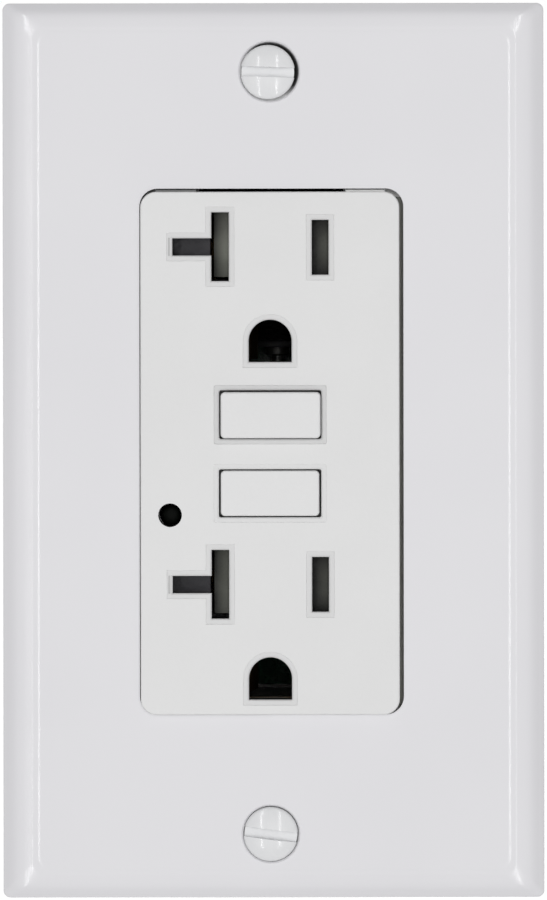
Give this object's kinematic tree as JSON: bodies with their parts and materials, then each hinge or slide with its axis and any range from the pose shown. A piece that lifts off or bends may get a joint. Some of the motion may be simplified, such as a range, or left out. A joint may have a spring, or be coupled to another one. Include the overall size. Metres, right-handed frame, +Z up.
{
  "type": "gfci outlet",
  "caption": "Wall receptacle with ground-fault protection: rectangular face with T-slot outlets, reset and test buttons, indicator hole and a bevelled wall plate.",
  "frame": {"origin": "centre of the receptacle's front face, between the two buttons, on the face plane", "axes": "+X right seen from the front, +Z up, -Y out of the wall towards the user, +Y into the wall"},
  "size_m": [0.0689, 0.0368, 0.1139],
  "materials": {
    "white_plastic": "moulded white thermoplastic, soft gloss",
    "painted_screw": "white enamel over steel, oval slotted head",
    "zinc_steel": "zinc-plated steel",
    "brass": "plain brass",
    "nickel_brass": "nickel-plated brass",
    "copper": null,
    "grey_plastic": "fine matt light grey moulding",
    "black_plastic": "matt black moulding",
    "shutter_plastic": "dark olive-grey moulding",
    "green_metal": "green chromate on steel",
    "lens": "dark clear moulding, unlit",
    "led_epoxy": "tinted epoxy",
    "board_laminate": "solder-masked glass laminate",
    "varistor_epoxy": "dipped epoxy",
    "capacitor_epoxy": "moulded epoxy"
  },
  "bodies": {
    "device": {"wall_plate": "white_plastic", "face_cover": "white_plastic", "mounting_strap": "zinc_steel", "ground_contact_upper": "brass", "ground_contact_lower": "brass", "middle_frame": "black_plastic", "rear_housing": "grey_plastic", "housing_screw_upper_left": "zinc_steel", "housing_screw_upper_right": "zinc_steel", "housing_screw_lower_left": "zinc_steel", "housing_screw_lower_right": "zinc_steel", "reset_spring": "zinc_steel", "light_pipe": "lens", "indicator_led": "led_epoxy", "shutter_spring_upper": "zinc_steel", "shutter_spring_lower": "zinc_steel", "hot_contact_bus": "brass", "neutral_contact_bus": "brass", "load_hot_terminal": "brass", "line_hot_terminal": "brass", "load_neutral_terminal": "nickel_brass", "line_neutral_terminal": "nickel_brass", "circuit_board": "board_laminate", "sensor_transformer": "black_plastic", "solenoid_bobbin": "black_plastic", "solenoid_winding": "copper", "plunger_spring": "zinc_steel", "varistor": "varistor_epoxy", "capacitor": "capacitor_epoxy", "control_chip": "black_plastic"},
    "reset": {"reset_button": "white_plastic", "reset_stem": "zinc_steel"},
    "test": {"test_button": "white_plastic"},
    "test_leaf": {"test_leaf": "copper"},
    "blade_shutter_upper": {"blade_shutter_upper": "shutter_plastic"},
    "leg_shutter_upper": {"leg_shutter_upper": "shutter_plastic"},
    "blade_shutter_lower": {"blade_shutter_lower": "shutter_plastic"},
    "leg_shutter_lower": {"leg_shutter_lower": "shutter_plastic"},
    "solenoid_plunger": {"solenoid_plunger": "zinc_steel"},
    "latch_block": {"latch_block": "black_plastic"},
    "latch_plate": {"latch_plate": "zinc_steel"},
    "hot_contact_arm": {"hot_contact_arm": "copper"},
    "neutral_contact_arm": {"neutral_contact_arm": "copper"},
    "load_hot_screw": {"load_hot_screw": "brass"},
    "load_hot_clamp": {"load_hot_clamp": "brass"},
    "line_hot_screw": {"line_hot_screw": "brass"},
    "line_hot_clamp": {"line_hot_clamp": "brass"},
    "load_neutral_screw": {"load_neutral_screw": "nickel_brass"},
    "load_neutral_clamp": {"load_neutral_clamp": "nickel_brass"},
    "line_neutral_screw": {"line_neutral_screw": "nickel_brass"},
    "line_neutral_clamp": {"line_neutral_clamp": "nickel_brass"},
    "ground_screw": {"ground_screw": "green_metal"},
    "ground_clamp": {"ground_clamp": "zinc_steel"},
    "plate_screw_upper": {"plate_screw_upper": "painted_screw"},
    "plate_screw_lower": {"plate_screw_lower": "painted_screw"},
    "box_screw_upper": {"box_screw_upper": "zinc_steel"},
    "box_screw_lower": {"box_screw_lower": "zinc_steel"}
  },
  "joints": [
    {"name": "reset_press", "type": "slide", "parent": "device", "child": "reset", "axis": [0, 1, 0], "range_m": [0, 0.0024], "deforming": ["reset_spring"]},
    {"name": "test_press", "type": "slide", "parent": "device", "child": "test", "axis": [0, 1, 0], "range_m": [0, 0.0015]},
    {"name": "test_leaf_bend", "type": "hinge", "parent": "device", "child": "test_leaf", "pos_m": [0, 0.0125, -0.0132], "axis": [-1, 0, 0], "range_deg": [0, 10.9]},
    {"name": "blade_shutter_upper_slide", "type": "slide", "parent": "device", "child": "blade_shutter_upper", "axis": [1, 0, 0], "range_m": [0, 0.0024], "deforming": ["shutter_spring_upper"]},
    {"name": "leg_shutter_upper_drop", "type": "slide", "parent": "device", "child": "leg_shutter_upper", "axis": [0, 0, -1], "range_m": [0, 0.0025]},
    {"name": "blade_shutter_lower_slide", "type": "slide", "parent": "device", "child": "blade_shutter_lower", "axis": [1, 0, 0], "range_m": [0, 0.0024], "deforming": ["shutter_spring_lower"]},
    {"name": "leg_shutter_lower_drop", "type": "slide", "parent": "device", "child": "leg_shutter_lower", "axis": [0, 0, -1], "range_m": [0, 0.0025]},
    {"name": "solenoid_stroke", "type": "slide", "parent": "device", "child": "solenoid_plunger", "axis": [0, 0, -1], "range_m": [0, 0.0012], "deforming": ["plunger_spring"]},
    {"name": "latch_lift", "type": "slide", "parent": "device", "child": "latch_block", "axis": [0, -1, 0], "range_m": [0, 0.0016]},
    {"name": "latch_plate_slide", "type": "slide", "parent": "latch_block", "child": "latch_plate", "axis": [0, 0, -1], "range_m": [0, 0.0012]},
    {"name": "hot_arm_close", "type": "hinge", "parent": "device", "child": "hot_contact_arm", "pos_m": [0.0087, 0.0213, -0.0103], "axis": [1, 0, 0], "range_deg": [0, 6.1]},
    {"name": "neutral_arm_close", "type": "hinge", "parent": "device", "child": "neutral_contact_arm", "pos_m": [-0.0087, 0.0213, -0.0103], "axis": [1, 0, 0], "range_deg": [0, 6.1]},
    {"name": "load_hot_screw_turn", "type": "hinge", "parent": "device", "child": "load_hot_screw", "pos_m": [0.01875, 0.01975, 0.0175], "axis": [1, 0, 0], "range_deg": [0, 1080]},
    {"name": "load_hot_clamp_slide", "type": "slide", "parent": "device", "child": "load_hot_clamp", "axis": [-1, 0, 0], "range_m": [0, 0.00238]},
    {"name": "line_hot_screw_turn", "type": "hinge", "parent": "device", "child": "line_hot_screw", "pos_m": [0.01875, 0.01975, -0.0175], "axis": [1, 0, 0], "range_deg": [0, 1080]},
    {"name": "line_hot_clamp_slide", "type": "slide", "parent": "device", "child": "line_hot_clamp", "axis": [-1, 0, 0], "range_m": [0, 0.00238]},
    {"name": "load_neutral_screw_turn", "type": "hinge", "parent": "device", "child": "load_neutral_screw", "pos_m": [-0.01875, 0.01975, 0.0175], "axis": [-1, 0, 0], "range_deg": [0, 1080]},
    {"name": "load_neutral_clamp_slide", "type": "slide", "parent": "device", "child": "load_neutral_clamp", "axis": [1, 0, 0], "range_m": [0, 0.00238]},
    {"name": "line_neutral_screw_turn", "type": "hinge", "parent": "device", "child": "line_neutral_screw", "pos_m": [-0.01875, 0.01975, -0.0175], "axis": [-1, 0, 0], "range_deg": [0, 1080]},
    {"name": "line_neutral_clamp_slide", "type": "slide", "parent": "device", "child": "line_neutral_clamp", "axis": [1, 0, 0], "range_m": [0, 0.00238]},
    {"name": "ground_screw_turn", "type": "hinge", "parent": "device", "child": "ground_screw", "pos_m": [-0.0145, 0.011, -0.04], "axis": [-1, 0, 0], "range_deg": [0, 1080]},
    {"name": "ground_clamp_slide", "type": "slide", "parent": "device", "child": "ground_clamp", "axis": [1, 0, 0], "range_m": [0, 0.00238]},
    {"name": "plate_screw_upper_turn", "type": "hinge", "parent": "device", "child": "plate_screw_upper", "pos_m": [-0.00025, 0.003, 0.04842], "axis": [0, -1, 0], "continuous": true},
    {"name": "plate_screw_lower_turn", "type": "hinge", "parent": "device", "child": "plate_screw_lower", "pos_m": [0.00002, 0.003, -0.04842], "axis": [0, -1, 0], "continuous": true},
    {"name": "box_screw_upper_turn", "type": "hinge", "parent": "device", "child": "box_screw_upper", "pos_m": [0, 0.003, 0.04167], "axis": [0, -1, 0], "continuous": true},
    {"name": "box_screw_lower_turn", "type": "hinge", "parent": "device", "child": "box_screw_lower", "pos_m": [0, 0.003, -0.04167], "axis": [0, -1, 0], "continuous": true}
  ],
  "couplings": [
    {"joint": "test_leaf_bend", "follows": "test_press", "rad_per_m": 125},
    {"joint": "latch_plate_slide", "follows": "solenoid_stroke", "ratio": 1},
    {"joint": "hot_arm_close", "follows": "latch_lift", "rad_per_m": 65.8},
    {"joint": "neutral_arm_close", "follows": "latch_lift", "rad_per_m": 65.8},
    {"joint": "load_hot_screw_turn", "follows": "load_hot_clamp_slide", "rad_per_m": 7913.3},
    {"joint": "line_hot_screw_turn", "follows": "line_hot_clamp_slide", "rad_per_m": 7913.3},
    {"joint": "load_neutral_screw_turn", "follows": "load_neutral_clamp_slide", "rad_per_m": 7913.3},
    {"joint": "line_neutral_screw_turn", "follows": "line_neutral_clamp_slide", "rad_per_m": 7913.3},
    {"joint": "ground_screw_turn", "follows": "ground_clamp_slide", "rad_per_m": 7913.3}
  ]
}
